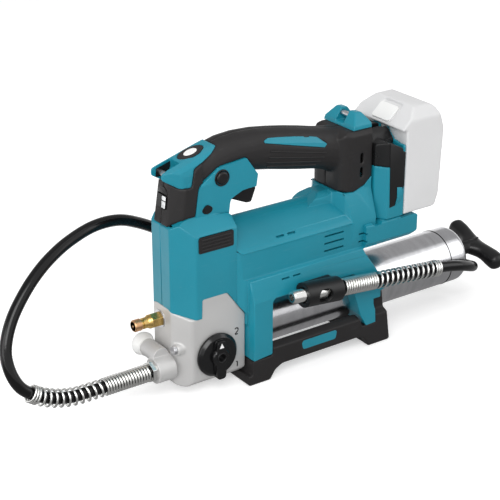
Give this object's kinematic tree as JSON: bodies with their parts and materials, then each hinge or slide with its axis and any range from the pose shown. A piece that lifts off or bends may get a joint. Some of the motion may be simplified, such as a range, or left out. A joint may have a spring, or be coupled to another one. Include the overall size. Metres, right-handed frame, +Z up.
{
  "type": "cordless grease gun",
  "caption": "Battery grease gun with a moulded housing over a steel barrel, cast pump body, two-speed dial, trigger handle and a spring-guarded hose clipped along its side.",
  "frame": {"origin": "on the floor, below the middle of the gun's box with the hose left out", "axes": "+X to the rear along the barrel, +Y to the side away from the dial, +Z up"},
  "size_m": [0.5676, 0.1216, 0.2399],
  "materials": {
    "teal_plastic": "fine moulded texture",
    "dark_plastic": "soft-touch, fine grain",
    "black_plastic": "satin",
    "cast_alloy": "cast and blasted",
    "polished_steel": "turned and polished",
    "plain_steel": "plain",
    "zinc_steel": "zinc plated",
    "brass_fitting": "machined",
    "white_plastic": "smooth",
    "pale_plastic": "fine moulded texture",
    "lamp_window": "clear",
    "hose_rubber": "smooth",
    "board": "solder mask",
    "cell_wrap": "heat-shrink wrap"
  },
  "bodies": {
    "gun": {"housing_left": "teal_plastic", "housing_right": "teal_plastic", "screws": "plain_steel", "grip_left": "dark_plastic", "grip_right": "dark_plastic", "grip_inserts": "teal_plastic", "front_strap_cap": "teal_plastic", "front_strap_bar": "plain_steel", "rear_strap_cap": "teal_plastic", "rear_strap_bar": "plain_steel", "lamp_lens": "lamp_window", "side_pads": "dark_plastic", "trigger_pin": "plain_steel", "switch_body": "dark_plastic", "controller_board": "board", "pump_body": "cast_alloy", "outlet_elbow": "cast_alloy", "elbow_cap": "white_plastic", "bleeder_valve": "brass_fitting", "check_ball": "plain_steel", "base_frame": "dark_plastic", "base_accents": "teal_plastic", "barrel_tube": "polished_steel", "barrel_cap": "polished_steel", "follower_spring": "plain_steel", "motor_stator": "plain_steel", "motor_bearings": "plain_steel", "gear_case": "cast_alloy", "ring_gear": "plain_steel", "crank_bearing": "plain_steel", "battery_holder": "teal_plastic", "holder_cover": "black_plastic", "battery_contacts": "brass_fitting", "hose_holder": "black_plastic", "hose": "hose_rubber", "hose_spring_front": "zinc_steel", "hose_spring_rear": "zinc_steel", "hose_nut": "zinc_steel", "hose_ferrule": "zinc_steel", "grease_coupler": "zinc_steel"},
    "trigger": {"trigger": "black_plastic"},
    "lock_on": {"lock_on_button": "dark_plastic"},
    "trigger_lock": {"trigger_lock": "black_plastic"},
    "lamp_button": {"lamp_button": "dark_plastic"},
    "dial": {"speed_dial": "black_plastic", "selector_spindle": "plain_steel"},
    "follower": {"follower_rod": "plain_steel", "rod_handle": "black_plastic", "follower_piston": "black_plastic", "follower_seal": "hose_rubber"},
    "rotor": {"motor_rotor": "plain_steel", "motor_fan": "black_plastic"},
    "crank": {"crank_shaft": "plain_steel"},
    "planet_1": {"planet_gear_1": "plain_steel"},
    "planet_2": {"planet_gear_2": "plain_steel"},
    "planet_3": {"planet_gear_3": "plain_steel"},
    "plunger": {"pump_plunger": "plain_steel"},
    "battery": {"battery_case": "pale_plastic", "battery_cells": "cell_wrap"},
    "battery_button": {"battery_button": "white_plastic"}
  },
  "joints": [
    {"name": "trigger_squeeze", "type": "hinge", "parent": "gun", "child": "trigger", "pos_m": [-0.114, 0.011, 0.19], "axis": [0, -1, 0], "range_deg": [0, 7], "stiffness_Nm_per_rad": 2},
    {"name": "lock_on_press", "type": "slide", "parent": "gun", "child": "lock_on", "axis": [0, 1, 0], "range_m": [0, 0.0025], "stiffness_N_per_m": 600},
    {"name": "trigger_lock_slide", "type": "slide", "parent": "gun", "child": "trigger_lock", "axis": [0, 1, 0], "range_m": [0, 0.003]},
    {"name": "lamp_press", "type": "slide", "parent": "gun", "child": "lamp_button", "axis": [0.284, 0, -0.9588], "range_m": [0, 0.001], "stiffness_N_per_m": 800},
    {"name": "dial_turn", "type": "hinge", "parent": "gun", "child": "dial", "pos_m": [-0.148, 0.011, 0.039], "axis": [0, 1, 0], "range_deg": [0, 180]},
    {"name": "rod_slide", "type": "slide", "parent": "gun", "child": "follower", "axis": [1, 0, 0], "range_m": [0, 0.2], "deforming": ["follower_spring"]},
    {"name": "battery_slide", "type": "slide", "parent": "gun", "child": "battery", "axis": [0, 0, 1], "range_m": [0, 0.078]},
    {"name": "battery_release", "type": "slide", "parent": "battery", "child": "battery_button", "axis": [0.7526, 0, 0.6585], "range_m": [0, 0.004], "stiffness_N_per_m": 500},
    {"name": "rotor_spin", "type": "hinge", "parent": "gun", "child": "rotor", "pos_m": [-0.054, 0.011, 0.12], "axis": [1, 0, 0], "continuous": true},
    {"name": "crank_spin", "type": "hinge", "parent": "gun", "child": "crank", "pos_m": [-0.124, 0.011, 0.12], "axis": [1, 0, 0], "continuous": true},
    {"name": "plunger_stroke", "type": "slide", "parent": "gun", "child": "plunger", "axis": [0, 0, -1], "range_m": [0, 0.006]},
    {"name": "planet_1_spin", "type": "hinge", "parent": "crank", "child": "planet_1", "pos_m": [-0.093, 0.026, 0.12], "axis": [1, 0, 0], "continuous": true},
    {"name": "planet_2_spin", "type": "hinge", "parent": "crank", "child": "planet_2", "pos_m": [-0.093, 0.0035, 0.13299], "axis": [1, 0, 0], "continuous": true},
    {"name": "planet_3_spin", "type": "hinge", "parent": "crank", "child": "planet_3", "pos_m": [-0.093, 0.0035, 0.10701], "axis": [1, 0, 0], "continuous": true}
  ],
  "couplings": [
    {"joint": "crank_spin", "follows": "rotor_spin", "ratio": 0.2},
    {"joint": "planet_1_spin", "follows": "rotor_spin", "ratio": -0.53333},
    {"joint": "planet_2_spin", "follows": "rotor_spin", "ratio": -0.53333},
    {"joint": "planet_3_spin", "follows": "rotor_spin", "ratio": -0.53333}
  ]
}
